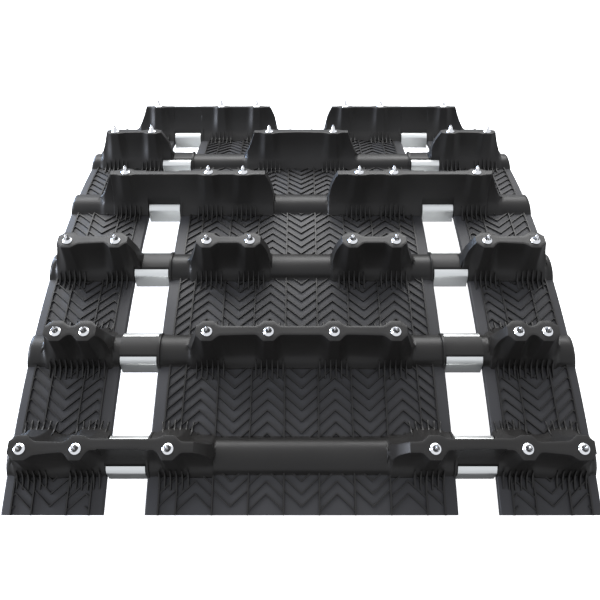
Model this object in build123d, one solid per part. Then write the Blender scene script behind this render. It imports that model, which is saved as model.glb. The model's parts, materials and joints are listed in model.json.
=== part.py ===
from build123d import *
import os
from math import sin, cos, radians

os.makedirs("parts", exist_ok=True)

# Studded rubber drive track, a section of six pitches that stands as a low arch.
# Each pitch is drawn in its own frame: X across the track, Y along the belt,
# Z outward, with Z = 0 at the middle of the belt's thickness, under the rod.

# Track
PITCH = 72.64           # rod to rod along the belt (2.86 in)
ROWS = 6
BEND = 8.2              # resting bend between neighbouring pitches, degrees
WIDTH = 381.0           # over the outer belts (15 in)
WINDOW_IN = 99.5        # edge of the centre belt
WINDOW_OUT = 126.0      # inner edge of an outer belt
BELT_T = 5.5
HALF_T = BELT_T / 2

# Web between two pitches, where the rubber bends
WEB_GAP = 0.3           # between the rounded end and its groove
WEB_RELIEF = 1.8        # flat end of the grooved side, back from the bend line

# Cross rod
ROD_R = 4.0
ROD_LEN = 376.0
ROD_Z = HALF_T
ROD_CLEAR = 0.05

# Rubber over the rod
RIB_HALF = 12.0
RIB_TOP = 10.75
COVER_HALF = 7.6
COVER_FOOT = 10.0
COLLAR_T = 1.5
COLLAR_RISE = 1.5

# Traction lugs
LUG_H = 31.75           # 1.25 in above the belt
TALL_ROW = 4            # its lugs stand higher than the others
TALL_EXTRA = 2.6
LUG_FOOT = 12.0         # half length along the belt at the foot
STRAP_HALF = 3.3        # half length along the belt at the top
STRAP_Y = -0.5          # middle of the top, off the rod's line
BOSS_Y = -1.5           # line of the bosses and studs, off the rod's line
BOSS_TOP_R = 8.0
SLIM_ROWS = (4, 5, 6)   # rows with slimmer tops
SLIM_STRAP_HALF = 2.0
SLIM_BOSS_R = 5.6
BOSS_TAPER = 6.0

# Clips
CLIP_SHEET = 1.6
CLIP_SIDE_GAP = 0.7
CLIP_LOW = -4.4
CLIP_LOW_HALF = 13.9
CLIP_SHOULDER = 6.0
CLIP_SHOULDER_HALF = 12.8
CLIP_HIGH = 8.8
CLIP_HIGH_HALF = 8.6
CLIP_MOUTH = 7.9

# Studs
FLANGE_R = 3.65
FLANGE_T = 0.8
FLARE_R = 2.9
FLARE_H = 1.2
BODY_R = 2.0
BODY_H = 3.2
NOSE_R = 1.1
TIP_H = 1.2
TIP_R = 0.35
SHANK_R = 1.6
SHANK_LEN = 13.0
SHANK_CLEAR = 0.05

# Drive lugs on the inside
DRIVE_X = (85.0, 141.0)
DRIVE_W = 20.0
DRIVE_TIP_W = 15.0
DRIVE_L = 26.0
DRIVE_TIP_L = 12.0
DRIVE_H = 22.0

# Each row's lugs on one side, as (foot from, top from, top to, foot to), in X.
# A lug that crosses the middle is given once, with both ends.
LUGS = {
    1: [(55.0, 66.6, 179.0, 184.0)],
    2: [(130.0, 137.0, 172.0, 177.0), (-77.0, -69.6, 69.6, 77.0)],
    3: [(120.0, 127.0, 178.0, 183.0), (22.0, 28.6, 75.0, 83.0)],
    4: [(21.4, 29.5, 152.7, 162.0)],
    5: [(116.0, 125.0, 176.0, 182.0), (-51.0, -42.0, 42.0, 51.0)],
    6: [(23.0, 31.0, 153.0, 162.0)],
}

# Each row's studs on one side, in X
STUDS = {
    1: (82.0, 138.7, 173.0),
    2: (22.0, 63.0, 145.0, 164.0),
    3: (37.7, 69.4, 136.3, 171.6),
    4: (47.0, 75.0, 142.0),
    5: (28.7, 134.0, 167.0),
    6: (44.0, 79.0, 141.4),
}


def both_sides(shape):
    """The shape and its mirror image across the track's centre plane."""
    return [shape, mirror(shape, about=Plane.YZ)]


def block(x0, x1, y0, y1, z0, z1):
    """A box between two corners."""
    size = Box(x1 - x0, y1 - y0, z1 - z0)
    return Pos((x0 + x1) / 2, (y0 + y1) / 2, (z0 + z1) / 2) * size


def across(profile, x0, x1):
    """A closed outline of (Y, Z) points run across the track from x0 to x1."""
    plane = Plane(origin=(x0, 0, 0), x_dir=(0, 1, 0), z_dir=(1, 0, 0))
    face = make_face(Polyline(*profile, close=True))
    return extrude(plane * face, amount=x1 - x0)


def cross_bar(radius, length, y=0.0, z=0.0):
    """A round bar across the track."""
    return Pos(0, y, z) * Rot(0, 90, 0) * Cylinder(radius, length)


def rod():
    return cross_bar(ROD_R, ROD_LEN, z=ROD_Z)


def rod_hole():
    return cross_bar(ROD_R + ROD_CLEAR, ROD_LEN + 2 * ROD_CLEAR, z=ROD_Z)


def belt(x0, x1, row):
    """One belt over one pitch: rounded at its far end, grooved at its near end."""
    half = PITCH / 2
    near = -half if row == 1 else -half + WEB_RELIEF
    body = block(x0, x1, near, half, -HALF_T, HALF_T)
    middle = (x0 + x1) / 2
    if row < ROWS:
        body += Pos(middle, 0, 0) * cross_bar(HALF_T, x1 - x0, y=half)
    if row > 1:
        body -= cross_bar(HALF_T + WEB_GAP, 2 * WIDTH, y=-half)
    return body - rod_hole()


def rib_outline(grow=0.0):
    """Low rounded rib of rubber over the rod."""
    w = RIB_HALF + grow
    h = RIB_TOP + grow - HALF_T
    steps = [radians(15 * i) for i in range(13)]
    return [(-w * cos(a), HALF_T + h * sin(a) ** 0.8) for a in steps]


def cover_outline():
    """Rubber round the rod where it crosses a window, as wide inside the clip as it fits."""
    low = CLIP_LOW + CLIP_SHEET + 0.1
    shoulder = CLIP_SHOULDER - 0.8
    return [
        (-COVER_FOOT, low),
        (COVER_FOOT, low),
        (COVER_FOOT, shoulder),
        (COVER_HALF, shoulder),
        (COVER_HALF, RIB_TOP - 2.5),
        (COVER_HALF - 2.5, RIB_TOP),
        (-COVER_HALF + 2.5, RIB_TOP),
        (-COVER_HALF, RIB_TOP - 2.5),
        (-COVER_HALF, shoulder),
        (-COVER_FOOT, shoulder),
    ]


def lug_top(row):
    """Height of a row's flat lug tops."""
    return HALF_T + LUG_H + (TALL_EXTRA if row == TALL_ROW else 0.0)


def lug(foot0, top0, top1, foot1, height, strap_half):
    """A lug's wall: wide at its foot, narrow at its flat top."""
    foot = Rectangle(foot1 - foot0, 2 * LUG_FOOT)
    top = Rectangle(top1 - top0, 2 * strap_half)
    low = Pos((foot0 + foot1) / 2, 0, HALF_T) * foot
    high = Pos((top0 + top1) / 2, STRAP_Y, height) * top
    return loft([low, high])


def boss(x, height, top_r):
    """Eight-sided tapered column that carries a stud."""
    face = Pos(x, BOSS_Y, height) * Rot(0, 0, 22.5) * RegularPolygon(top_r, 8)
    return extrude(face, amount=HALF_T - height, taper=-BOSS_TAPER)


def stud_hole(x, height):
    hole = Cylinder(SHANK_R + SHANK_CLEAR, SHANK_LEN + 0.5)
    return Pos(x, BOSS_Y, height - (SHANK_LEN + 0.5) / 2) * hole


def tread_row(row):
    """Lugs, rod rib, window covers and collars of one row, in one moulding."""
    half = WIDTH / 2
    height = lug_top(row)
    strap_half = SLIM_STRAP_HALF if row in SLIM_ROWS else STRAP_HALF
    top_r = SLIM_BOSS_R if row in SLIM_ROWS else BOSS_TOP_R
    rubber = across(rib_outline(), -WINDOW_IN, WINDOW_IN)
    for side in both_sides(across(rib_outline(), WINDOW_OUT, half)):
        rubber += side
    for spec in LUGS[row]:
        piece = lug(*spec, height, strap_half)
        pair = [piece] if spec[0] < 0 else both_sides(piece)
        for item in pair:
            rubber += item
    for x in STUDS[row]:
        for item in both_sides(boss(x, height, top_r)):
            rubber += item
    window = block(WINDOW_IN, WINDOW_OUT, -PITCH / 2, PITCH / 2, 0, CLIP_HIGH + 0.6)
    cover = across(cover_outline(), WINDOW_IN, WINDOW_OUT)
    collar = across(rib_outline(COLLAR_RISE), WINDOW_IN - COLLAR_T, WINDOW_IN)
    for item in both_sides(window):
        rubber -= item
    for item in both_sides(cover) + both_sides(collar):
        rubber += item
    for x in STUDS[row]:
        for item in both_sides(stud_hole(x, height)):
            rubber -= item
    keep = block(-half, half, -PITCH, PITCH, CLIP_LOW, height)
    return (rubber & keep) - rod_hole()


def clip():
    """Steel channel that wraps the rod from the inside of the track."""
    x0 = WINDOW_IN + CLIP_SIDE_GAP
    x1 = WINDOW_OUT - CLIP_SIDE_GAP
    right = [
        (CLIP_LOW_HALF, CLIP_LOW),
        (CLIP_SHOULDER_HALF, CLIP_SHOULDER),
        (CLIP_HIGH_HALF, CLIP_HIGH),
    ]
    left = [(-y, z) for y, z in reversed(right)]
    outline = make_face(Polyline(*right, *left, close=True))
    hollow = offset(outline, amount=-CLIP_SHEET, kind=Kind.INTERSECTION)
    plane = Plane(origin=(x0, 0, 0), x_dir=(0, 1, 0), z_dir=(1, 0, 0))
    body = extrude(plane * outline, amount=x1 - x0)
    body = fillet(body.edges().filter_by(Axis.X), 1.4)
    body -= extrude(plane * hollow, amount=x1 - x0)
    return body - block(x0, x1, -CLIP_MOUTH, CLIP_MOUTH, 0, 2 * CLIP_HIGH)


def stud(x, height):
    """Steel stud body with its flange and the shank held in the lug."""
    shank = Pos(0, 0, -SHANK_LEN / 2) * Cylinder(SHANK_R, SHANK_LEN)
    flange = Pos(0, 0, FLANGE_T / 2) * Cylinder(FLANGE_R, FLANGE_T)
    flare = Pos(0, 0, FLANGE_T + FLARE_H / 2) * Cone(FLARE_R, BODY_R, FLARE_H)
    body = Pos(0, 0, FLANGE_T + FLARE_H + BODY_H / 2) * Cone(BODY_R, NOSE_R, BODY_H)
    return Pos(x, BOSS_Y, height) * (shank + flange + flare + body)


def stud_tip(x, height):
    """Carbide point on the stud."""
    base = height + FLANGE_T + FLARE_H + BODY_H
    return Pos(x, BOSS_Y, base + TIP_H / 2) * Cone(NOSE_R, TIP_R, TIP_H)


def drive_lug(x):
    """Tapered block on the inside that the drive wheel pushes."""
    root = Pos(x, 0, -HALF_T) * Rectangle(DRIVE_W, DRIVE_L)
    tip = Pos(x, 0, -HALF_T - DRIVE_H) * Rectangle(DRIVE_TIP_W, DRIVE_TIP_L)
    return loft([tip, root])


def pair_up(make, places, *sizes):
    """One group of separate solids at each place and its mirror."""
    return [item for x in places for item in both_sides(make(x, *sizes))]


def pitch_pieces(row):
    """Every named piece of one row, in the row's own frame."""
    outer = WIDTH / 2
    return {
        "belt_left": [belt(-outer, -WINDOW_OUT, row)],
        "belt_centre": [belt(-WINDOW_IN, WINDOW_IN, row)],
        "belt_right": [belt(WINDOW_OUT, outer, row)],
        "cross_rod": [rod()],
        "tread_lugs": [tread_row(row)],
        "rod_clips": both_sides(clip()),
        "studs": pair_up(stud, STUDS[row], lug_top(row)),
        "stud_tips": pair_up(stud_tip, STUDS[row], lug_top(row)),
        "drive_lugs": pair_up(drive_lug, DRIVE_X),
    }


def row_places():
    """Where each row's rod foot lies on the arch, and its tilt in degrees."""
    places = {}
    for side in (-1, 1):
        y = 0.0
        z = 0.0
        for step in range(ROWS // 2):
            tilt = (step + 0.5) * BEND
            y += cos(radians(tilt)) * PITCH / 2
            z -= sin(radians(tilt)) * PITCH / 2
            row = ROWS // 2 + 1 + step if side > 0 else ROWS // 2 - step
            places[row] = (side * y, z, -side * tilt)
            y += cos(radians(tilt)) * PITCH / 2
            z -= sin(radians(tilt)) * PITCH / 2
    return places


def foot_height(places):
    """How far the outermost drive lugs' tips reach below the arch's crown."""
    y, z, tilt = places[1]
    a = radians(tilt)
    depth = HALF_T + DRIVE_H
    return z - DRIVE_TIP_L / 2 * sin(a) - depth * cos(a)


def main():
    places = row_places()
    lift = -foot_height(places)
    for row in range(1, ROWS + 1):
        y, z, tilt = places[row]
        place = Location((0, y, z + lift), (tilt, 0, 0))
        for name, solids in pitch_pieces(row).items():
            group = [s for item in solids for s in (place * item).solids()]
            shape = group[0] if len(group) == 1 else Compound(children=group)
            export_step(shape, f"parts/{name}_{row}.step")


main()
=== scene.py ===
# %% [markdown]
# # Studded rubber drive track
# A section of six pitches of a rubber drive track. Each pitch is a rigid cross rod moulded
# into rubber, with lugs outside and drive blocks inside. Between the rods only thin belts run
# on, and that is where the track bends. The lesson builds the belts, the lug rows, the steel
# clips and the studs round a frame that is already solved, then gives each its finish.
#
# The frame holds the plain working solids and the hinges between the pitches. It is loaded
# first, because every piece below takes its place from it and rides on one of its bodies.

# %% Load the frame
import bpy
import bmesh
import json
from math import sin, cos, tan, radians, pi, sqrt, exp
from mathutils import Matrix, Vector


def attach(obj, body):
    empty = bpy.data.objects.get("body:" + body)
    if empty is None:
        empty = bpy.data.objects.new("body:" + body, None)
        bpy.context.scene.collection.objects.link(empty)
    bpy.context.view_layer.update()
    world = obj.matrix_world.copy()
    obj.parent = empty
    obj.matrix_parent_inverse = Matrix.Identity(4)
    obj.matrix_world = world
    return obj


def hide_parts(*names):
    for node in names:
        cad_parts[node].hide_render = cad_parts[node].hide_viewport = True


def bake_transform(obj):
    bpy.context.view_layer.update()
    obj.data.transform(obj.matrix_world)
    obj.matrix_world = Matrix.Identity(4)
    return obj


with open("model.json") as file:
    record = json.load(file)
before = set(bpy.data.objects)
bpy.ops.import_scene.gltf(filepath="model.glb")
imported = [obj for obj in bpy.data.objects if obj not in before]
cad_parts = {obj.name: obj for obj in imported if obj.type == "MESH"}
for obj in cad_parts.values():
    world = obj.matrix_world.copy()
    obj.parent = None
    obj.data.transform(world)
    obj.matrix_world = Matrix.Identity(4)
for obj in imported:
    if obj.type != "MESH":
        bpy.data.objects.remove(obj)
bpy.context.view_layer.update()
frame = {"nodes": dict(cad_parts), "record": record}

# %% [markdown]
# ## Sizes
# A track is reckoned from a few sizes: how far apart its rods are, how wide it is, where its
# drive windows lie and how high its lugs stand. All other sizes hang on these, so they come
# first. They are in millimetres, because that is what a mould maker works in, and a finished
# piece is scaled to metres once, when it becomes an object.
#
# The height of the arch comes from the frame itself. The hinge between the third and the
# fourth pitch stands on the centre plane, so its height fixes the circle that all six rods
# touch.

# %% Sizes of the track
PITCH = 72.64  # from rod to rod along the belt
BEND = radians(8.2)  # between neighbouring rods at rest
ROWS = 6
HALF_W = 190.5  # half the width of the track
WINDOW_IN = 99.5  # inner and outer edge of a drive window, from the middle
WINDOW_OUT = 126.0
HALF_T = 2.75  # half the thickness of a belt
LUG_H = 31.75  # lug tops above the belt's face
TALL_ROW = 4  # its lugs are a little higher
TALL_EXTRA = 2.6
BOSS_S = -1.5  # the studs stand this far from the line of the rod, towards the near end
RIB_H = 8.0  # round rib over the rod, and half its width
RIB_HALF = 11.2

joints = {j["name"]: j for j in frame["record"]["behaviour"]["joints"]}
crown = joints["web_3_4"]["pos_m"][2] * 1000
RADIUS = PITCH / 2 / tan(BEND / 2)
CENTRE_Z = crown - PITCH / 2 / sin(BEND / 2)
print("arch radius", round(RADIUS, 1), "mm, crown", round(crown, 2), "mm")

# %% [markdown]
# ## Two ways to place a piece
# The section lies as an arch, but nobody likes to draw on a slope. So everything is first
# drawn flat, with X across the track, Y along it and Z out of it. A belt bends, so it is
# rolled onto the circle point by point. A lug row or a clip is stiff, so it is set down whole
# at its own rod, with one matrix. An array along a curve would do both jobs at once, but every
# row differs from its neighbours, and every piece has to ride on its own pitch.


# %% Rolling and setting down
def row_s(row):
    """Distance along the belt of a row's rod from the middle of the section."""
    return (row - (ROWS + 1) / 2) * PITCH


def rolled(co):
    """A flat point (x, s, n), rolled onto the arch, in millimetres."""
    turn = co.y / PITCH * BEND
    reach = RADIUS + co.z
    return Vector((co.x, reach * sin(turn), CENTRE_Z + reach * cos(turn)))


def row_matrix(row):
    """Sets a row's own flat frame down at its rod."""
    turn = row_s(row) / PITCH * BEND
    foot = rolled(Vector((0.0, row_s(row), 0.0)))
    return Matrix.Translation(foot) @ Matrix.Rotation(-turn, 4, "X")


print("rod heights", [round(rolled(Vector((0, row_s(r), 0))).z, 1) for r in range(1, ROWS + 1)])

# %% [markdown]
# ## Small helpers for every piece
# Four small jobs come back all the time: a box of a given size, hard and soft edges, an object
# made from the finished mesh, and an even curve from 0 to 1. The object is left unturned and
# unscaled at the origin, with its place in its mesh, so a pattern in its material doesn't
# slide when the piece is moved with its pitch.


# %% Box, edges, object and curve
def blade(bm, size, place):
    """A box of that size in bm, moved by the matrix place. Returns its vertices."""
    scale = Matrix.Diagonal((size[0], size[1], size[2], 1.0))
    return bmesh.ops.create_cube(bm, size=1.0, matrix=place @ scale)["verts"]


def mark_edges(bm, angle=38):
    """Smooth faces, with a hard edge wherever two faces meet at more than angle."""
    for face in bm.faces:
        face.smooth = True
    for edge in bm.edges:
        if len(edge.link_faces) == 2:
            edge.smooth = edge.calc_face_angle(0.0) < radians(angle)


def finish_piece(bm, name, material, body=None):
    """Turns a bmesh in millimetres into a named object in metres, riding on its body."""
    bmesh.ops.transform(bm, matrix=Matrix.Scale(0.001, 4), verts=bm.verts)
    mesh = bpy.data.meshes.new(name)
    bm.to_mesh(mesh)
    bm.free()
    mesh.materials.append(material)
    piece = bpy.data.objects.new(name, mesh)
    bpy.context.scene.collection.objects.link(piece)
    if body:
        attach(piece, body)
    return piece


def smooth(a, b, x):
    """0 below a, 1 above b and an even curve between."""
    t = min(1.0, max(0.0, (x - a) / (b - a)))
    return t * t * (3 - 2 * t)


print("even curve at quarters", [round(smooth(0, 4, i), 3) for i in range(5)])

# %% [markdown]
# ## Materials
# Two things are seen: natural rubber filled with carbon black, as it leaves a polished steel
# mould, and bright steel. Both are mixed from nodes and not from pictures, so that they stay
# sharp at any distance and need no unwrapping. They read Object coordinates, in metres, so the
# grain has one real size on every piece.
#
# Two helpers carry all of them. One turns a hex value from a paint shop into the linear colour
# that the shader works in, and one adds a node with its settings and links.


# %% A node helper and a colour helper
def linear(hex_value):
    """An sRGB hex colour as linear RGBA."""
    raw = [int(hex_value[i : i + 2], 16) / 255 for i in (1, 3, 5)]
    rgb = [c / 12.92 if c <= 0.04045 else ((c + 0.055) / 1.055) ** 2.4 for c in raw]
    return (*rgb, 1.0)


def add_node(tree, kind, settings=None, links=None):
    """One node with its settings, and its inputs set or linked by name or number."""
    node = tree.nodes.new(kind)
    for key, value in (settings or {}).items():
        setattr(node, key, value)
    for key, value in (links or {}).items():
        if isinstance(value, bpy.types.NodeSocket):
            tree.links.new(value, node.inputs[key])
        else:
            node.inputs[key].default_value = value
    return node


def new_material(name):
    """An empty node material, and its tree."""
    material = bpy.data.materials.new(name)
    material.use_nodes = True
    material.node_tree.nodes.clear()
    return material, material.node_tree


print("mid grey #808080 in linear light", round(linear("#808080")[0], 3))

# %% [markdown]
# ### Moulded rubber
# Natural rubber with carbon black, pressed in a polished steel mould, comes out black with a
# soft satin skin. A plain black would look like a hole in the picture: what tells the eye that
# it is rubber is the broad, dull shine on every rounded edge, and that the shine isn't even.
# So the cloud that comes from the flow of the compound moves the roughness more than the tone,
# and the mould's surface adds a fine grain as a bump.
#
# Lugs and belts share the recipe. The net of ribs on the belt takes the darker lug rubber as
# painted shade: it stands in for the shadow lines along the ribs, so that the net is seen
# against the belt. The inside of a track is pressed against cloth, so its rubber is duller and
# has a coarser grain. Rubber mirrors a little less than glass would, and the specular level is
# set lower for that.


# %% Rubber
def moulded_rubber(name, dark, light, rough, grain_mm, grain_depth, shine):
    """Satin black rubber with a grain of grain_mm. The grain is as coarse as it must be to show."""
    material, tree = new_material(name)
    place = add_node(tree, "ShaderNodeTexCoord").outputs["Object"]
    # Cloud of the compound, a few centimetres wide: patches that shine a little more or less.
    cloud = add_node(tree, "ShaderNodeTexNoise", {}, {"Vector": place, "Scale": 28.0, "Detail": 3.0})
    # Grain of the mould: breaks up the shine along the edges.
    fine = add_node(
        tree,
        "ShaderNodeTexNoise",
        {},
        {"Vector": place, "Scale": 1000.0 / grain_mm, "Detail": 2.0, "Roughness": 0.6},
    )
    tone = add_node(
        tree,
        "ShaderNodeMix",
        {"data_type": "RGBA"},
        {0: cloud.outputs["Fac"], 6: linear(dark), 7: linear(light)},
    )
    gloss = add_node(
        tree,
        "ShaderNodeMapRange",
        {},
        {"Value": cloud.outputs["Fac"], 1: 0.3, 2: 0.7, 3: rough - 0.05, 4: rough + 0.06},
    )
    bump = add_node(
        tree,
        "ShaderNodeBump",
        {},
        {"Height": fine.outputs["Fac"], "Strength": 0.35, "Distance": grain_depth / 1000},
    )
    shader = add_node(
        tree,
        "ShaderNodeBsdfPrincipled",
        {},
        {
            "Base Color": tone.outputs[2],
            "Roughness": gloss.outputs[0],
            "Normal": bump.outputs["Normal"],
            "IOR": 1.52,
            "Specular IOR Level": shine,
        },
    )
    add_node(tree, "ShaderNodeOutputMaterial", {}, {"Surface": shader.outputs[0]})
    return material


belt_rubber = moulded_rubber("belt rubber, satin mould skin", "#2c2c2e", "#353537", 0.5, 0.7, 0.04, 0.25)
lug_rubber = moulded_rubber("lug rubber, satin mould skin", "#1b1a19", "#222120", 0.42, 0.6, 0.03, 0.26)
inner_rubber = moulded_rubber("inner rubber, cloth-marked", "#232425", "#2b2c2e", 0.6, 1.4, 0.12, 0.2)
print("rubbers:", "; ".join(m.name for m in (belt_rubber, lug_rubber, inner_rubber)))

# %% [markdown]
# ### Steel
# The clips are pressed from rolled sheet and plated with bright zinc: a pale mirror gone soft,
# with faint rolling marks across the track. The studs are turned and polished, so they are
# nearly a clean mirror. Their points are carbide, ground and not polished, and so greyer and
# duller. A metal has no colour under its shine, so one recipe does for all three: a base
# colour that tints the mirror, Metallic at 1, and streaks that move the roughness. The streaks
# are noise stretched along X by a Mapping node.


# %% Steel and carbide
def bright_steel(name, dark, light, rough, streak_mm, streak_depth):
    """Bright metal with streaks along X. The streaks are as coarse as they must be to show."""
    material, tree = new_material(name)
    place = add_node(tree, "ShaderNodeTexCoord").outputs["Object"]
    stretch = add_node(tree, "ShaderNodeMapping", {}, {"Vector": place, "Scale": (1.0, 14.0, 14.0)})
    lines = add_node(
        tree,
        "ShaderNodeTexNoise",
        {},
        {"Vector": stretch.outputs[0], "Scale": 1000.0 / streak_mm / 14.0, "Detail": 3.0},
    )
    tone = add_node(
        tree,
        "ShaderNodeMix",
        {"data_type": "RGBA"},
        {0: lines.outputs["Fac"], 6: linear(dark), 7: linear(light)},
    )
    gloss = add_node(
        tree,
        "ShaderNodeMapRange",
        {},
        {"Value": lines.outputs["Fac"], 1: 0.3, 2: 0.7, 3: rough - 0.04, 4: rough + 0.05},
    )
    bump = add_node(
        tree,
        "ShaderNodeBump",
        {},
        {"Height": lines.outputs["Fac"], "Strength": 0.2, "Distance": streak_depth / 1000},
    )
    shader = add_node(
        tree,
        "ShaderNodeBsdfPrincipled",
        {},
        {
            "Base Color": tone.outputs[2],
            "Metallic": 1.0,
            "Roughness": gloss.outputs[0],
            "Normal": bump.outputs["Normal"],
        },
    )
    add_node(tree, "ShaderNodeOutputMaterial", {}, {"Surface": shader.outputs[0]})
    return material


clip_zinc = bright_steel("zinc-plated sheet steel", "#d4d6d5", "#dfe1e0", 0.37, 0.5, 0.001)
stud_steel = bright_steel("polished turned steel", "#dedfe1", "#e8e9ea", 0.12, 0.3, 0.001)
carbide = bright_steel("ground carbide", "#b0b1b3", "#c2c3c5", 0.26, 0.2, 0.002)
print("metals:", "; ".join(m.name for m in (clip_zinc, stud_steel, carbide)))

# %% [markdown]
# ### Glass-fibre rod
# The rods are drawn from glass fibre in resin. The strands run along the rod, which gives the
# straw colour a fine streak lengthwise, and the resin a half-dull shine. The rods are sealed in
# rubber, so they show only if someone hides the rubber. They get their finish all the same,
# because a part without one looks broken as soon as it is taken out.


# %% Glass-fibre rod
def drawn_fibre():
    """Straw-coloured resin with strands of glass along X."""
    material, tree = new_material("glass fibre in resin")
    place = add_node(tree, "ShaderNodeTexCoord").outputs["Object"]
    stretch = add_node(tree, "ShaderNodeMapping", {}, {"Vector": place, "Scale": (0.05, 1.0, 1.0)})
    strands = add_node(
        tree, "ShaderNodeTexNoise", {}, {"Vector": stretch.outputs[0], "Scale": 1800.0, "Detail": 2.0}
    )
    tone = add_node(
        tree,
        "ShaderNodeMix",
        {"data_type": "RGBA"},
        {0: strands.outputs["Fac"], 6: linear("#b7ac86"), 7: linear("#d2c9a6")},
    )
    shader = add_node(
        tree, "ShaderNodeBsdfPrincipled", {}, {"Base Color": tone.outputs[2], "Roughness": 0.5}
    )
    add_node(tree, "ShaderNodeOutputMaterial", {}, {"Surface": shader.outputs[0]})
    return material


rod_fibre = drawn_fibre()
print("rod:", rod_fibre.name)

# %% [markdown]
# ## Belts
# A belt is a flat strip of rubber with slightly rounded edges. It has to bend at a hinge, and
# the only way to make a mesh bend well is to give it points where it bends. So the strip is a
# box with its long edges bevelled, cut crosswise every few millimetres. It is also cut through
# at every rod, where the lug row hides the cut: each length then crosses one hinge only.

# %% Belt strip
BELTS = {
    "left": (-HALF_W, -WINDOW_OUT),
    "centre": (-WINDOW_IN, WINDOW_IN),
    "right": (WINDOW_OUT, HALF_W),
}
EDGE_ROUND = 1.1
STRIP_STEP = 3.0  # longest stretch of strip between two crosswise cuts


def lengthwise(edges, least=1.0):
    """Those edges that run along the belt for more than least."""
    return [e for e in edges if abs(e.verts[0].co.y - e.verts[1].co.y) > least]


def belt_strip(bm, x0, x1, s0, s1):
    """A flat strip with rounded long edges, cut into short lengths so that it can bend."""
    mid = Matrix.Translation(((x0 + x1) / 2, (s0 + s1) / 2, 0.0))
    blade(bm, (x1 - x0, s1 - s0, 2 * HALF_T), mid)
    bmesh.ops.bevel(
        bm,
        geom=lengthwise(bm.edges),
        offset=EDGE_ROUND,
        offset_type="OFFSET",
        segments=3,
        profile=0.5,
        affect="EDGES",
        material=-1,
    )
    cuts = max(6, int((s1 - s0) / STRIP_STEP))
    bmesh.ops.subdivide_edges(bm, edges=lengthwise(bm.edges), cuts=cuts, use_grid_fill=True)


print("belt widths", {side: round(x1 - x0, 1) for side, (x0, x1) in BELTS.items()}, "mm")

# %% [markdown]
# ### The net of ribs
# Outside, the belt carries a net of low ribs that stiffens it and throws off snow: straight
# ribs along it, and a stack of arrows between each two of them. Neighbouring columns of arrows
# point opposite ways, so the ribs meet in a zigzag across the belt. A bump pattern would be
# cheaper, but the ribs stand proud by more than a millimetre and catch the light one by one,
# so they are real bars. A bar is a box whose upper face is drawn in, which gives it the sloped
# sides that let rubber leave a mould.

# %% One rib
RIB_W = 1.0
NET_H = 1.2
BAR_ROOT = 0.5  # a bar's lower part, sunk in the belt
LONG_RIB_W = 1.15
LONG_RIB_H = NET_H + 0.35


def net_bar(bm, a, b, width=RIB_W, height=NET_H):
    """A low bar with sloped sides from point a to point b on the belt's face."""
    run = Vector((b[0] - a[0], b[1] - a[1]))
    turn = Vector((0, 1)).angle_signed(run, 0.0)
    size = Matrix.Diagonal((width, run.length + width * 0.4, height + BAR_ROOT, 1.0))
    spin = Matrix.Rotation(-turn, 4, "Z")
    centre = ((a[0] + b[0]) / 2, (a[1] + b[1]) / 2, HALF_T + (height - BAR_ROOT) / 2)
    verts = bmesh.ops.create_cube(bm, size=1.0)["verts"]
    for v in verts:
        if v.co.z > 0:
            v.co.x *= 0.8
    bmesh.ops.transform(bm, matrix=Matrix.Translation(centre) @ spin @ size, verts=verts)
    return verts


def long_rib(bm, x, s0, s1):
    """A straight rib along the belt, cut into lengths so that it can bend."""
    verts = net_bar(bm, (x, s0), (x, s1), LONG_RIB_W, LONG_RIB_H)
    edges = {e for v in verts for e in v.link_edges}
    bmesh.ops.subdivide_edges(bm, edges=lengthwise(edges, 5.0), cuts=12, use_grid_fill=True)


print("ribs", NET_H, "and", LONG_RIB_H, "mm high")

# %% [markdown]
# ### Columns of arrows
# The centre belt has seven whole columns, and half a column at each edge. The narrow outer
# belts have three columns of their own widths. A column is its two edges, the place of the
# arrows' tips between them, and the way they point: -1 to the near end, 1 to the far end.

# %% Columns of arrows
HALF_COLUMN = 11.4
ARROW_STEP = 7.6
ARROW_RISE = 10.2  # how far an arrow falls back over half a column
END_MARGIN = 0.6
SECTION_NEAR = -ROWS / 2 * PITCH
SECTION_FAR = ROWS / 2 * PITCH


def columns_of(side):
    """(left edge, right edge, tip x, direction) of every column of arrows on a belt."""
    if side == "centre":
        found = []
        for i in range(-3, 4):
            tip = 2 * HALF_COLUMN * i
            found.append((tip - HALF_COLUMN, tip + HALF_COLUMN, tip, -1 if i % 2 == 0 else 1))
        found.append((-91.0, -79.8, -91.2, -1))
        found.append((79.8, 91.0, 91.2, -1))
        return found
    sign = -1 if side == "left" else 1
    edges = [(149.0, 171.0, 160.0, -1), (134.5, 149.0, 137.6, 1), (171.0, 184.0, 182.4, 1)]
    return [(*sorted((sign * a, sign * b)), sign * apex, way) for a, b, apex, way in edges]


def belt_net(bm, side, s0, s1):
    """Long ribs and arrows of one belt between s0 and s1."""
    seen = set()
    for left, right, apex, way in columns_of(side):
        for x in (left, right):
            if round(x, 1) not in seen:
                seen.add(round(x, 1))
                long_rib(bm, x, s0, s1)
        first = int(s0 / ARROW_STEP) - 2
        last = int(s1 / ARROW_STEP) + 2
        for i in range(first, last):
            tip = i * ARROW_STEP
            if not s0 <= tip < s1:
                continue
            for end in (left, right):
                reach = abs(end - apex)
                if reach < 0.5:
                    continue
                drop = -way * ARROW_RISE * reach / HALF_COLUMN
                if s0 == SECTION_NEAR and tip + min(drop, 0) < s0 + END_MARGIN:
                    continue
                if s1 == SECTION_FAR and tip + max(drop, 0) > s1 - END_MARGIN:
                    continue
                net_bar(bm, (apex, tip), (end, tip + drop))


print("columns of arrows", {side: len(columns_of(side)) for side in BELTS})
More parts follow.
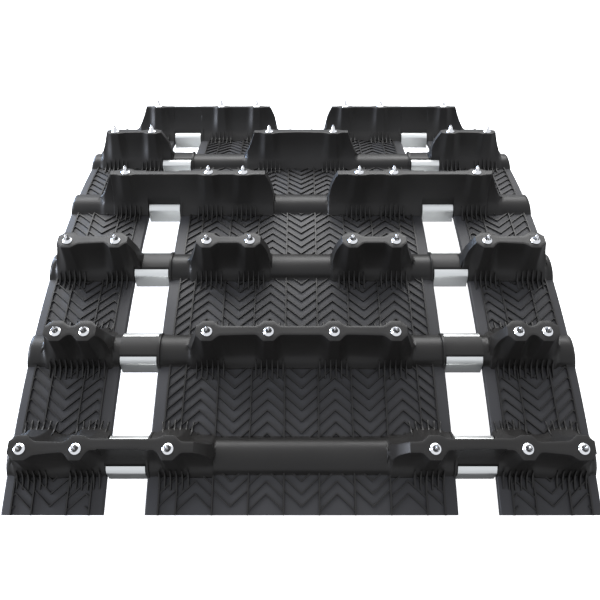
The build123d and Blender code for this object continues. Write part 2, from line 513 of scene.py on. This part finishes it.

# %% [markdown]
# ### All the belts
# Each length of belt and its net are drawn flat and rolled onto the arch. The half lengths at
# the two ends ride on one pitch. A length between two rods rides on neither: it keeps the
# rolled shape it was drawn in, with its place baked into its mesh.


def build_belts():
    """Every belt piece, from the near end to the far end."""
    cuts = [SECTION_NEAR] + [row_s(r) for r in range(1, ROWS + 1)] + [SECTION_FAR]
    for side, (x0, x1) in BELTS.items():
        for i in range(len(cuts) - 1):
            s0, s1 = cuts[i], cuts[i + 1]
            near, far = max(1, i), min(ROWS, i + 1)
            for kind in ("belt", "net"):
                bm = bmesh.new()
                if kind == "belt":
                    belt_strip(bm, x0, x1, s0, s1)
                else:
                    belt_net(bm, side, s0, s1)
                bmesh.ops.recalc_face_normals(bm, faces=bm.faces)
                for v in bm.verts:
                    v.co = rolled(v.co)
                mark_edges(bm, 34)
                name = f"{side}_{kind}_{i}_{i + 1}"
                # The net takes the darker lug rubber: painted shade for the shadow lines along its ribs.
                skin = belt_rubber if kind == "belt" else lug_rubber
                if near == far:
                    piece = finish_piece(bm, name, skin, f"pitch_{near}")
                else:
                    piece = finish_piece(bm, name, skin)
                    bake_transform(piece)
                if kind == "belt" and i > 0:
                    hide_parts(f"belt_{side}_{i}")


build_belts()

# %% [markdown]
# ## Lug rows
# One row is a single moulding across the track. Its section changes all the way: a low round
# rib over the rod, a tall thin wall where a lug stands, and a thick column under every stud.
# A lathe or an extrusion can't do that, and boxes joined by booleans would leave hard corners
# where a mould has soft hollows. So a grid is drawn over the row, and each of its lines of
# points is moved to the section at that place: up the near side, over the top, down the far
# side and back underneath.
#
# First comes where things stand. A lug is four places across the track: the foot of its left
# end, the two ends of its flat top, and the foot of its right end. Studs and lugs are the same
# on both sides of the middle, so only one side is listed, and a lug on the middle whole.

# %% Where the lugs and studs stand
LUGS = {
    1: [(55.0, 66.6, 180.4, 187.5)],
    2: [(130.0, 137.4, 171.6, 180.0), (-80.0, -70.6, 70.6, 80.0)],
    3: [(120.0, 128.0, 179.0, 186.5), (22.0, 30.1, 77.0, 86.5)],
    4: [(21.4, 29.5, 154.5, 169.0)],
    5: [(116.0, 126.0, 174.6, 184.0), (-54.0, -42.0, 42.0, 54.0)],
    6: [(23.0, 31.0, 153.5, 166.0)],
}
STUDS = {
    1: (82.0, 138.7, 173.0),
    2: (22.0, 63.0, 145.0, 164.0),
    3: (37.7, 69.4, 136.3, 171.6),
    4: (47.0, 75.0, 142.0),
    5: (28.7, 134.0, 167.0),
    6: (44.0, 79.0, 141.4),
}


def lug_height(row):
    """Height of a row's lugs above the belt's face."""
    return LUG_H + (TALL_EXTRA if row == TALL_ROW else 0.0)


def lug_spans(row):
    """Every lug of a row on both sides, as (foot, top, top, foot) from left to right."""
    spans = []
    for a, b, c, d in LUGS[row]:
        spans.append((a, b, c, d))
        if a > 0:
            spans.append((-d, -c, -b, -a))
    return spans


def stud_places(row):
    """Places across the track of all studs of a row."""
    return [s * x for x in STUDS[row] for s in (-1, 1)]


print("lugs", {row: len(lug_spans(row)) for row in LUGS})
print("studs", {row: len(stud_places(row)) for row in STUDS})

# %% [markdown]
# ### How high the row stands
# Seen from the front, a lug is a flat-topped hill. Its outer end runs out in a long flare, like
# the end of a ski, so that snow slides off it. Its inner end drops in a rounded shoulder. One
# number says it all: 0 on the low rib, 1 on the top, and a curve between the two on each end.


# %% Height along a row
def rise(row, x):
    """0 on the low rib, 1 on a lug's top, and between on its sloping ends."""
    best = 0.0
    for a, b, c, d in lug_spans(row):
        if b <= x <= c:
            return 1.0
        if a < x < d:
            q = (x - a) / (b - a) if x < b else (d - x) / (d - c)
            outer = (x > c) == (x > 0)
            round_end = (0.55 * q + 0.45 * sqrt(1 - (1 - q) ** 2)) * smooth(-0.1, 0.4, q)
            best = max(best, q**1.7 if outer else round_end)
    return best


print("row 1, inner end to top", [round(rise(1, x), 2) for x in (55, 58, 61, 64, 67)])

# %% [markdown]
# ### Straps and columns
# Between its studs a lug is a thin strap. Some straps taper from one column to the next, and
# the one over a window of the first row stands further back, so each can have its own faces:
# the distance of its near and its far face from the rod, at the inner and at the outer end.
# The three far rows have slimmer tops, so their faces are drawn in towards the studs' line.
#
# Under each stud stands a column. Seen from above it is eight-sided, and its slanted sides run
# out into the strap in a soft hollow. It pulls the wall out: fully on its flat, less and less
# on its slanted side, and not at all on the strap.

# %% Half widths of the walls
PLAIN_STRAP = (3.7, 3.7, 2.7, 2.7)
STRAPS = {
    (1, 138.7, 173.0): (2.9, 6.4, 2.4, 3.4),
    (1, 82.0, 138.7): (1.6, 1.6, 4.8, 4.8),
    (3, 136.3, 171.6): (3.0, 5.6, 2.6, 3.6),
    (4, 0.0, 154.0): (6.2, 6.2, 1.3, 1.3),
    (5, 134.0, 167.0): (3.0, 5.6, 2.6, 3.6),
    (2, 22.0, 63.0): (3.4, 4.6, 2.7, 2.7),
    (5, 0.0, 28.7): (2.2, 6.4, 2.4, 2.7),
}


def strap_faces(row, x):
    """Distances of the near and the far face of a strap's top from the rod's line, at x."""
    away = abs(x)
    for (of_row, inner, outer), (near0, near1, far0, far1) in STRAPS.items():
        if of_row == row and inner <= away <= outer:
            t = ((away - inner) / (outer - inner)) ** 1.4
            return near0 + (near1 - near0) * t, far0 + (far1 - far0) * t
    return PLAIN_STRAP[0], PLAIN_STRAP[2]


SLIM_ROWS = (4, 5, 6)
SLIM_SHARE = 0.66


def slim(row, s):
    """Draws a top's face at s from the rod's line in towards the studs' line in the slim rows."""
    return BOSS_S + (s - BOSS_S) * (SLIM_SHARE if row in SLIM_ROWS else 1.0)


COLUMN_HALF = 9.6  # half a column across the track, over its slanted sides
COLUMN_SLANT = 6.2  # the part of it that is slanted
HOLLOW = 0.55  # share of the slant that is a soft hollow


def column_pull(row, x, level, spread):
    """How strongly the nearest column shapes the wall at x: 1 on its flat, 0 off it."""
    best = 0.0
    for centre in stud_places(row):
        away = abs(x - centre) / (1.0 + spread * (1.0 - level) ** 1.6)
        t = min(1.0, max(0.0, (COLUMN_HALF - away) / COLUMN_SLANT))
        pull = t * t / (2 * HOLLOW) if t < HOLLOW else t - HOLLOW / 2
        best = max(best, pull / (1 - HOLLOW / 2))
    return best


print("pull of a column", [round(column_pull(1, 82 + d, 1, 0), 2) for d in range(0, 11, 2)])

# %% [markdown]
# ### Walls
# Going down from the top, a strap scoops outward to its foot. A column keeps its width nearly
# to the foot, where it spreads like a bell, further on the far side than on the near side. A
# power of the height that is left does both: it stays close to 0 for most of the way down and
# then grows fast.

# %% Near and far walls
STRAP_FLARE = 9.5  # how far a strap's foot stands out beyond its top
COLUMN_NEAR = 8.3  # a column's faces from the rod's line, at the top and at the foot
COLUMN_FAR = 6.9
FOOT_NEAR = 12.2
FOOT_FAR = 17.9


def near_wall(row, x, level):
    """Distance of the near wall from the rod's line at that level, 0 at the foot, 1 at the top."""
    gap = 1.0 - level
    strap = -slim(row, -strap_faces(row, x)[0])
    strap += STRAP_FLARE * gap**2.6
    column = -slim(row, -COLUMN_NEAR)
    column += (FOOT_NEAR - column) * gap**2.6
    return strap + (column - strap) * column_pull(row, x, level, 0.45)


def far_wall(row, x, level):
    """Distance of the far wall from the rod's line at that level."""
    gap = 1.0 - level
    strap = slim(row, strap_faces(row, x)[1])
    strap += STRAP_FLARE * gap**2.6
    column = slim(row, COLUMN_FAR)
    column += (FOOT_FAR - column) * gap**2.1
    return strap + (column - strap) * column_pull(row, x, level, 0.9)


print("near wall of row 1 at a stud, foot to top", [round(near_wall(1, 82, q / 4), 1) for q in range(5)])


# %% [markdown]
# ### The rib over the rod
# Between lugs the rod lies under a low rib: half an ellipse with a small skirt where it meets
# the belt. In a drive window there is no belt to lie on, and the rubber is a plain sleeve
# round the rod. A thin upright collar closes the inner side of each window. Where a wall and
# the rib meet, the wider one counts, with a soft hollow between them.


# %% Rib, sleeve and collar
SLEEVE_HALF = 7.6  # half width of the rod's sleeve in a window, and its rounded corner
SLEEVE_ROUND = 1.8
SLEEVE_FOOT = -HALF_T + 0.2 - HALF_T
COLLAR = 1.5  # thickness of the collar, and how far it stands above and beside the rib
COLLAR_RISE = 2.2
COLLAR_WIDER = 1.4
LIP_ROUND = 0.45  # rounding of a lug's top edge


def in_collar(x):
    """Whether x lies in the thin collar on the inner side of a window."""
    return WINDOW_IN - COLLAR < abs(x) < WINDOW_IN


def in_window(x):
    """Whether x lies in a drive window."""
    return WINDOW_IN < abs(x) < WINDOW_OUT


def rib_wall(z, high=RIB_H, half=RIB_HALF):
    """Half width of the round rib over the rod, at height z above the belt."""
    if z >= high:
        return 0.0
    dome = half * (1.0 - (max(z, 0.0) / high) ** 2.0) ** 0.5
    return dome + 1.2 * exp(-max(z, 0.0) / 0.8)


def sleeve_wall(z):
    """Half width of the rod's sleeve in a window, at height z above the belt's face."""
    if z >= RIB_H:
        return 0.0
    corner = max(0.0, z - RIB_H + SLEEVE_ROUND)
    return SLEEVE_HALF - SLEEVE_ROUND + sqrt(max(0.0, SLEEVE_ROUND**2 - corner**2))


def blended(a, b, reach=5.0):
    """The larger of two widths, with a soft hollow where they meet."""
    return max(a, b) + max(0.0, reach - abs(a - b)) ** 2 / (4 * reach)


def wall_at(row, x, z, top, side):
    """Half width of the row's section at x, z above the belt, on the near or far side."""
    level = min(1.0, max(0.0, z / lug_height(row)))
    # The wall takes over from the rib within the first part of a lug's slope.
    share = smooth(0.0, 0.28, rise(row, x))
    wall = near_wall(row, x, level) if side < 0 else far_wall(row, x, level)
    low = rib_wall(z)
    if in_window(x):
        low = sleeve_wall(z)
        wall = min(wall, SLEEVE_HALF)
    if in_collar(x):
        low = rib_wall(z, RIB_H + COLLAR_RISE, RIB_HALF + COLLAR_WIDER)
    wall = max(wall, low) if in_window(x) else blended(wall, low)
    width = low + (wall - low) * share
    over = z - top + LIP_ROUND
    if share > 0.5 and over > 0:
        width -= LIP_ROUND - sqrt(max(0.0, LIP_ROUND**2 - over * over))
    return max(width, 0.02)


print("rib half width, belt to top", [round(rib_wall(z), 1) for z in range(0, 9, 2)])

# %% [markdown]
# ### Stations
# A station is a place across the row where its section is worked out. Too few and the columns
# lose their corners, too many and the mesh grows heavy for nothing. So stations are close
# together at the columns and on the slopes, and far apart on plain stretches. At a window's
# edge two of them lie almost on each other, which gives the clean step from the belt to the
# sleeve. A few extra ones round off both ends of the row.


# %% Stations across a row
ROW_HALF = HALF_W - 0.15
END_ROUND = 3.2  # the row is rounded over this much at each end


def stations(row):
    """All places across a row where its section is worked out, from left to right."""
    found = {-ROW_HALF, ROW_HALF}
    x = -ROW_HALF
    while x < ROW_HALF:
        near_column = min(abs(x - c) for c in stud_places(row)) < 13
        on_slope = 0.0 < rise(row, x) < 1.0
        found.add(round(x, 3))
        x += 0.8 if near_column else (1.0 if on_slope else 2.4)
    for a, b, c, d in lug_spans(row):
        found.update((a, b, c, d))
    for sign in (-1, 1):
        for edge in (WINDOW_IN - COLLAR, WINDOW_IN, WINDOW_OUT):
            found.update((sign * edge - 0.06, sign * edge + 0.06))
        found.update(sign * (ROW_HALF - d) for d in (0.3, 0.9, 1.9, END_ROUND))
    return sorted(found)


print("stations", {row: len(stations(row)) for row in LUGS})

# %% [markdown]
# ### Section and mesh
# At a station the section is a closed line: up the near wall, over the top, down the far wall
# and back underneath. Its points crowd together at the foot and at the top, where it turns.
# The last point of each line is the first one again, so that the grid closes to a tube, and
# merging the doubles seals the seam. The two open ends are filled.

# %% Section at a station
WALL_STEPS = 22
TOP_STEPS = 4
ROW_FOOT = -0.45  # the row's rubber starts a little below the belt's face


def section(row, x):
    """The closed section at x, as (s, n) points from the near foot round to the far foot."""
    top = RIB_H + (lug_height(row) - RIB_H) * rise(row, x)
    if in_collar(x):
        top = max(top, RIB_H + COLLAR_RISE)
    edge = ROW_HALF - abs(x)
    squeeze = 1.0
    if edge < END_ROUND:
        squeeze = 0.45 + 0.55 * sqrt(max(0.0, 1.0 - (1.0 - edge / END_ROUND) ** 2))
    foot = SLEEVE_FOOT if in_window(x) else ROW_FOOT
    points = []
    for side in (-1, 1):
        wall = []
        for i in range(WALL_STEPS + 1):
            q = (1 - cos(pi * i / WALL_STEPS)) / 2
            z = foot + (top - foot) * q
            width = wall_at(row, x, z, top, side)
            wall.append((side * width, z * squeeze if z > 0 else z))
        if side < 0:
            points = wall
        else:
            a, b = points[-1], wall[-1]
            for j in range(1, TOP_STEPS):
                t = j / TOP_STEPS
                points.append((a[0] + (b[0] - a[0]) * t, a[1] + (b[1] - a[1]) * t))
            points += list(reversed(wall))
    return [(s, n + HALF_T) for s, n in points]


print("points of a section", len(section(1, 0.0)))


# %% Build the rows
def build_row(row):
    """One row's rubber, from a grid whose lines are moved to the sections."""
    places = stations(row)
    around = 2 * (WALL_STEPS + 1) + TOP_STEPS - 1
    bm = bmesh.new()
    grid = bmesh.ops.create_grid(bm, x_segments=len(places) - 1, y_segments=around, size=1.0)
    verts = sorted(grid["verts"], key=lambda v: (round(v.co.x, 6), round(v.co.y, 6)))
    per = around + 1
    for i, x in enumerate(places):
        line = section(row, x)
        line.append(line[0])
        for j, (s, n) in enumerate(line):
            verts[i * per + j].co = (x, s, n)
    bmesh.ops.remove_doubles(bm, verts=bm.verts, dist=0.0005)
    bmesh.ops.holes_fill(bm, edges=[e for e in bm.edges if e.is_boundary], sides=0)
    bmesh.ops.recalc_face_normals(bm, faces=bm.faces)
    mark_edges(bm, 42)
    bmesh.ops.transform(bm, matrix=row_matrix(row), verts=bm.verts)
    piece = finish_piece(bm, f"lug_row_{row}", lug_rubber, f"pitch_{row}")
    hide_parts(f"tread_lugs_{row}")
    print("row", row, "stations", len(places), "faces", len(piece.data.polygons))


for row in range(1, ROWS + 1):
    build_row(row)

# %% [markdown]
# ## Fins at the feet of the columns
# At the foot of each column, thin fins run out onto the belt, before it and behind it. They
# stop the foot from tearing off when the belt bends, and they draw the fine comb that one sees
# at every foot. Each starts as a box, is cut into lengths and has its upper edge pulled down
# into a long slope. A bump couldn't do it, since a fin is nearly a centimetre high at the
# column. There are nearly five hundred of them, so each has only a few dozen faces.


# %% One fin
FIN_W = 1.3
FIN_END_H = 0.75  # height of a fin near its tip, and how deep it is sunk in the belt
FIN_ROOT = 0.7


def fin(bm, x, near, far, high, lean):
    """A thin fin from near to far along the belt, high at the column, low at its end."""
    before = len(bm.verts)
    mid = Matrix.Translation((x, (near + far) / 2, HALF_T))
    verts = blade(bm, (FIN_W, abs(far - near), 2.0), mid)
    edges = {e for v in verts for e in v.link_edges}
    bmesh.ops.subdivide_edges(bm, edges=lengthwise(edges), cuts=5)
    bm.verts.ensure_lookup_table()
    for v in bm.verts[before:]:
        t = (v.co.y - near) / (far - near)
        if v.co.z > HALF_T:
            slope = (high - FIN_END_H) * exp(-3.4 * t)
            nose = FIN_END_H * max(0.0, t - 0.85) / 0.15
            v.co.z = HALF_T + FIN_END_H + slope - nose
            v.co.x = x + (v.co.x - x) * (0.62 if t < 0.9 else 0.4)
        else:
            v.co.z = HALF_T - FIN_ROOT
        v.co.x += lean * t * t


print("a fin is", FIN_W, "mm wide")

# %% [markdown]
# Six fins stand before each column and six behind it. The outer ones of a group are lower and
# shorter, and those behind spread a little like a fan. None stands in a window or over the
# edge of a belt.

# %% Build the fins
FINS = 6  # in a group
FIN_STEP = 3.75


def build_fins(row):
    """All fins of a row, as one piece."""
    bm = bmesh.new()
    for centre in stud_places(row):
        for i in range(FINS):
            offset = (i - (FINS - 1) / 2) * FIN_STEP
            x = centre + offset
            if abs(x) > HALF_W - 3 or WINDOW_IN - 2 < abs(x) < WINDOW_OUT + 2:
                continue
            edge = abs(offset) / 9.4
            fin(bm, x, -11.0, -22.0 + 1.2 * edge, 9.5 - 2.0 * edge, 0.0)
            fin(bm, x, 12.0, 23.5 - 1.5 * edge, 8.0 - 2.5 * edge, offset * 0.12)
    bmesh.ops.recalc_face_normals(bm, faces=bm.faces)
    mark_edges(bm, 30)
    bmesh.ops.transform(bm, matrix=row_matrix(row), verts=bm.verts)
    finish_piece(bm, f"foot_fins_{row}", lug_rubber, f"pitch_{row}")


for row in range(1, ROWS + 1):
    build_fins(row)

# %% [markdown]
# ## Steel clips
# A clip is one strip of sheet bent round the rod from the inside: a flat sole that slides on
# the rail, two walls that lean in, and two lips folded over the sleeve of the rod. It could be
# a bent block, but then its walls would not have one thickness all over, and the eye knows
# sheet by its even edge. So it is made as a press makes it: the line of the strip is pulled
# across the window, its bends are rounded, and only then does solidify give it its thickness.

# %% One clip
CLIP_LINE = [(7.9, 9.4), (9.7, 8.6), (12.1, 6.0), (13.9, -4.4)]  # far half, from lip to sole
CLIP_SHEET = 1.5
CLIP_BEND = 0.9
CLIP_SIDES = {"left": (-125.3, -100.2), "right": (100.2, 125.3)}


def clip(bm, x0, x1):
    """A clip of folded sheet from x0 to x1, round a rod on the line of X."""
    line = CLIP_LINE + [(-s, n) for s, n in reversed(CLIP_LINE)]
    verts = [bm.verts.new((x0, s, n)) for s, n in line]
    edges = [bm.edges.new((a, b)) for a, b in zip(verts, verts[1:])]
    made = bmesh.ops.extrude_edge_only(bm, edges=edges)["geom"]
    far = [g for g in made if isinstance(g, bmesh.types.BMVert)]
    bmesh.ops.translate(bm, verts=far, vec=(x1 - x0, 0, 0))
    bends = [e for e in bm.edges if len(e.link_faces) == 2]
    bmesh.ops.bevel(
        bm,
        geom=bends,
        offset=CLIP_BEND,
        offset_type="OFFSET",
        segments=5,
        profile=0.5,
        affect="EDGES",
        material=-1,
        clamp_overlap=True,
    )
    bmesh.ops.recalc_face_normals(bm, faces=bm.faces)
    bmesh.ops.solidify(bm, geom=bm.faces[:], thickness=CLIP_SHEET)


print("clip sheet", CLIP_SHEET, "mm,", 2 * len(CLIP_LINE) - 2, "bends")


# %% Build the clips
def build_clips(row):
    """Both clips of a row. The left one stands in for the frame's pair."""
    for side, (x0, x1) in CLIP_SIDES.items():
        bm = bmesh.new()
        clip(bm, x0, x1)
        bmesh.ops.recalc_face_normals(bm, faces=bm.faces)
        mark_edges(bm, 40)
        bmesh.ops.transform(bm, matrix=row_matrix(row), verts=bm.verts)
        piece = finish_piece(bm, f"clip_{side}_{row}", clip_zinc, f"pitch_{row}")
        if side == "left":
            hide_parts(f"rod_clips_{row}")


for row in range(1, ROWS + 1):
    build_clips(row)
print("clips", ROWS * len(CLIP_SIDES))

# %% [markdown]
# ## Studs
# A stud is turned on a lathe, and so is this one: its outline, as (radius, height) from the
# lug's top, is spun once round an upright axis. It has a broad flange that sits on the lug, a
# hollow waist, a body, and a nose that narrows to the carbide point. Body and point are two
# pieces, because they are two metals. Points on the axis all fall on one spot, so the doubles
# are merged before the faces are turned outwards.

# %% One turned piece
STUD_OUTLINE = [
    (0.0, 0.05),
    (3.4, 0.05),
    (3.65, 0.25),
    (3.65, 0.5),
    (3.3, 0.8),
    (2.6, 1.1),
    (2.15, 1.6),
    (1.9, 2.3),
    (1.75, 3.1),
    (1.55, 3.9),
    (1.3, 4.6),
    (1.05, 5.2),
]
TIP_OUTLINE = [(1.05, 5.15), (0.8, 5.6), (0.5, 6.0), (0.25, 6.3), (0.0, 6.4)]


def turned(bm, outline, x, high, steps=20):
    """Spins an outline of (radius, height) points once round an upright axis at x."""
    verts = [bm.verts.new((x + r, BOSS_S, high + z)) for r, z in outline]
    edges = [bm.edges.new((a, b)) for a, b in zip(verts, verts[1:])]
    bmesh.ops.spin(
        bm,
        geom=verts + edges,
        cent=(x, BOSS_S, 0),
        axis=(0, 0, 1),
        angle=2 * pi,
        steps=steps,
        use_merge=True,
    )


print("stud height", TIP_OUTLINE[-1][1], "mm, flange", 2 * STUD_OUTLINE[2][0], "mm")


# %% Build the studs
def build_studs(row):
    """The bodies of a row's studs as one piece, and their points as another."""
    high = HALF_T + lug_height(row)
    for name, outline, metal, node in (
        ("stud_bodies", STUD_OUTLINE, stud_steel, "studs"),
        ("stud_points", TIP_OUTLINE, carbide, "stud_tips"),
    ):
        bm = bmesh.new()
        for x in stud_places(row):
            turned(bm, outline, x, high)
        bmesh.ops.remove_doubles(bm, verts=bm.verts, dist=0.0005)
        bmesh.ops.holes_fill(bm, edges=[e for e in bm.edges if e.is_boundary], sides=0)
        bmesh.ops.recalc_face_normals(bm, faces=bm.faces)
        mark_edges(bm, 50)
        bmesh.ops.transform(bm, matrix=row_matrix(row), verts=bm.verts)
        piece = finish_piece(bm, f"{name}_{row}", metal, f"pitch_{row}")
        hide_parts(f"{node}_{row}")


for row in range(1, ROWS + 1):
    build_studs(row)
print("studs", sum(len(stud_places(r)) for r in LUGS))

# %% [markdown]
# ## Drive lugs
# On the inside, tapered blocks take the push of the drive wheel. Each is a box drawn in at its
# tip, with every free edge rounded so that it slides out of its mould and over the wheel's
# teeth. The edges that lie in the belt stay sharp, since nobody sees them. The rods get their
# finish in the same cell: they are round bars already, so the frame's own pieces stay.

# %% One drive lug
DRIVE_X = (-141.0, -85.0, 85.0, 141.0)  # beside the windows
DRIVE_BASE = (20.0, 26.0)  # across and along the track, in the belt
DRIVE_TIP = (15.0, 12.0)
DRIVE_H = 22.4
DRIVE_ROUND = 1.8


def drive_lug(bm, x):
    """A tapered block on the inside of the belt at x, with rounded edges."""
    verts = blade(bm, (*DRIVE_BASE, DRIVE_H), Matrix.Translation((x, 0, -HALF_T - 10.8)))
    for v in verts:
        if v.co.z < -HALF_T - 10:
            v.co.x = x + (v.co.x - x) * DRIVE_TIP[0] / DRIVE_BASE[0]
            v.co.y *= DRIVE_TIP[1] / DRIVE_BASE[1]
    edges = list({e for v in verts for e in v.link_edges if min(u.co.z for u in e.verts) < -HALF_T - 10})
    bmesh.ops.bevel(
        bm,
        geom=edges,
        offset=DRIVE_ROUND,
        offset_type="OFFSET",
        segments=4,
        profile=0.5,
        affect="EDGES",
        material=-1,
        clamp_overlap=True,
    )


print("drive lug", *DRIVE_BASE, DRIVE_H, "mm")

# %% Build the drive lugs and finish the rods
for row in range(1, ROWS + 1):
    bm = bmesh.new()
    for x in DRIVE_X:
        drive_lug(bm, x)
    bmesh.ops.recalc_face_normals(bm, faces=bm.faces)
    mark_edges(bm, 40)
    bmesh.ops.transform(bm, matrix=row_matrix(row), verts=bm.verts)
    piece = finish_piece(bm, f"drive_blocks_{row}", inner_rubber, f"pitch_{row}")
    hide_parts(f"drive_lugs_{row}")
    rod = frame["nodes"][f"cross_rod_{row}"]
    for slot in rod.material_slots:
        slot.material = rod_fibre
    print("row", row, "drive blocks", len(DRIVE_X), "rod finished")

# %% [markdown]
# ## Floor
# The track stands on white paper, as on a product table. Plain white paper would still come
# out grey in the far corners, so it glows of its own. Black rubber is hard to show on it,
# because a white floor shines in every face that looks at it. So the floor is left out of
# reflections and bounced light: the viewer sees it, and the track doesn't.

# %% Floor
FLOOR_HALF = 4000.0

floor_bm = bmesh.new()
bmesh.ops.create_grid(floor_bm, x_segments=1, y_segments=1, size=FLOOR_HALF)
paper, paper_tree = new_material("white table paper")
paper_shader = add_node(
    paper_tree,
    "ShaderNodeBsdfPrincipled",
    {},
    {
        "Base Color": linear("#f4f4f4"),
        "Roughness": 0.9,
        "Emission Color": linear("#ffffff"),
        "Emission Strength": 0.85,
    },
)
add_node(paper_tree, "ShaderNodeOutputMaterial", {}, {"Surface": paper_shader.outputs[0]})
floor = finish_piece(floor_bm, "table", paper)
floor.visible_diffuse = False
floor.visible_glossy = False
print("floor", round(2 * FLOOR_HALF / 1000, 1), "m wide")

# %% [markdown]
# ## Sky
# Black things are lit by what they mirror. A sky of one even white lifts every face alike and
# makes rubber look like grey plastic. This sky is white to the sides and above, and dark
# straight below, so faces that look down or lean over stay black.

# %% Sky
bpy.context.scene.view_settings.view_transform = "Standard"
world = bpy.data.worlds[0] if bpy.data.worlds else bpy.data.worlds.new("studio")
bpy.context.scene.world = world
world.use_nodes = True
tree = world.node_tree
tree.nodes.clear()
direction = add_node(tree, "ShaderNodeTexCoord").outputs["Generated"]
look = add_node(tree, "ShaderNodeSeparateXYZ", {}, {0: direction})
upwards = add_node(
    tree,
    "ShaderNodeMapRange",
    {},
    {"Value": look.outputs["Z"], 1: -0.85, 2: -0.25, 3: 0.1, 4: 1.0},
)
sky = add_node(
    tree,
    "ShaderNodeBackground",
    {},
    {"Color": linear("#f8faff"), "Strength": upwards.outputs[0]},
)
add_node(tree, "ShaderNodeOutputWorld", {}, {"Surface": sky.outputs[0]})
print("sky nodes", len(tree.nodes))

# %% [markdown]
# ## Lamps
# Three soft lamps. The main one is a wide softbox behind and above the track: it puts the
# shine on lug tops, belts and studs, and leaves the faces towards the viewer dark. A cool
# softbox on the left models the columns. A small blue rim light, further back on the same
# side, draws the thin light lines along the left-hand edges.


# %% Lamps
def lamp(name, place, target, size, watts, hex_colour):
    """A soft rectangular lamp at place that shines on target. All lengths are in metres."""
    light = bpy.data.lights.new(name, "AREA")
    light.shape = "RECTANGLE"
    light.size, light.size_y = size
    light.energy = watts
    light.color = linear(hex_colour)[:3]
    holder = bpy.data.objects.new(name, light)
    holder.location = place
    aim = Vector(target) - Vector(place)
    holder.rotation_euler = aim.to_track_quat("-Z", "Y").to_euler()
    bpy.context.scene.collection.objects.link(holder)


lamp("back softbox", (-0.2, 1.15, 1.25), (0, 0.1, 0.0), (2.4, 0.8), 58.0, "#ffffff")
lamp("left softbox", (-1.5, -0.1, 0.34), (0, 0, 0.05), (0.6, 0.5), 30.0, "#e8efff")
lamp("rim light", (-1.2, 0.95, 0.3), (0, 0, 0.05), (0.3, 0.5), 26.0, "#c4dcff")
print("lamps", sorted(light.name for light in bpy.data.lights))

# %% [markdown]
# ## Camera
# The camera stands over the near end and looks down the belt, so that the rows step up one
# behind the other. Its place is reckoned from the first rod, which lies so far along the line
# of sight and so far below it. It stands close, about half a metre from that rod, because that
# is what makes the near row so much wider than the far one. The lens is a normal one, and the
# picture is shifted down a little instead of tilting the camera further.

# %% Camera
LOOK_DOWN = radians(43.28)
AXIS_DEPTH = 472.6
BELOW_AXIS = 141.9
LENS_MM = 43.206

first = rolled(Vector((0, row_s(1), 0)))
eye_y = first.y - AXIS_DEPTH * cos(LOOK_DOWN) + BELOW_AXIS * sin(LOOK_DOWN)
eye_z = first.z + AXIS_DEPTH * sin(LOOK_DOWN) + BELOW_AXIS * cos(LOOK_DOWN)
camera_data = bpy.data.cameras.new("camera")
camera_data.sensor_width = 36.0
camera_data.lens = LENS_MM
camera_data.shift_y = -0.1
camera_data.clip_start = 0.01
camera = bpy.data.objects.new("camera", camera_data)
camera.location = (-0.001, eye_y / 1000, eye_z / 1000)
camera.rotation_euler = (pi / 2 - LOOK_DOWN, 0.0, 0.0)
bpy.context.scene.collection.objects.link(camera)
bpy.context.scene.camera = camera
print("camera at", [round(c, 3) for c in camera.location], "lens", round(camera_data.lens, 1))

# %% [markdown]
# ## Finish
# Last, the view layer is brought up to date, so that every piece stands where it was put.

# %% Finish
bpy.context.view_layer.update()
